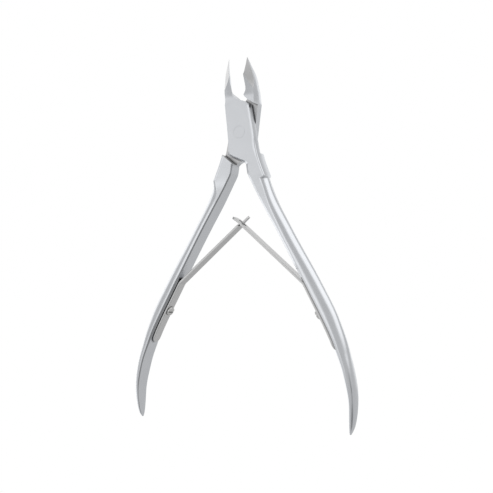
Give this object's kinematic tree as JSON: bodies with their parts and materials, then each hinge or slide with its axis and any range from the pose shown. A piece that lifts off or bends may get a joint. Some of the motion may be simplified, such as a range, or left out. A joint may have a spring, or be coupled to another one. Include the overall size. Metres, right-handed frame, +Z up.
{
  "type": "cuticle nipper",
  "caption": "Lap-jointed nail-salon cuticle nipper with pointed ground jaws, long curved handles and interlocking leaf springs, shown open.",
  "frame": {"origin": "on the pivot axis, in the plane of the joint's flat back face", "axes": "+Z up the tool towards the jaw tips, +X to the right seen from the front, +Y out of the joint's back face"},
  "size_m": [0.0752, 0.0077, 0.112],
  "materials": {
    "forged_steel": "satin",
    "spring_steel": "satin",
    "screw_steel": "satin"
  },
  "bodies": {
    "front_lever": {"front_lever": "forged_steel", "pivot_rivet": "forged_steel", "right_spring_seat": "spring_steel", "right_spring_screw": "screw_steel"},
    "rear_lever": {"rear_lever": "forged_steel", "left_spring_seat": "spring_steel", "left_spring_screw": "screw_steel"},
    "right_arm": {"right_spring_arm": "spring_steel"},
    "left_arm": {"left_spring_arm": "spring_steel"}
  },
  "joints": [
    {"name": "nipper_pivot", "type": "hinge", "parent": "front_lever", "child": "rear_lever", "pos_m": [0, -0.0026, 0], "axis": [0, -1, 0], "range_deg": [0, 15.6], "stiffness_Nm_per_rad": 1.2},
    {"name": "right_leaf_bend", "type": "hinge", "parent": "front_lever", "child": "right_arm", "pos_m": [0.02152, -0.0026, -0.04641], "axis": [0, 1, 0], "range_deg": [0, 9.7]},
    {"name": "left_leaf_bend", "type": "hinge", "parent": "rear_lever", "child": "left_arm", "pos_m": [-0.02152, -0.0026, -0.04641], "axis": [0, -1, 0], "range_deg": [0, 9.7]}
  ],
  "couplings": [
    {"joint": "right_leaf_bend", "follows": "nipper_pivot", "ratio": 0.6212},
    {"joint": "left_leaf_bend", "follows": "nipper_pivot", "ratio": 0.6212}
  ]
}
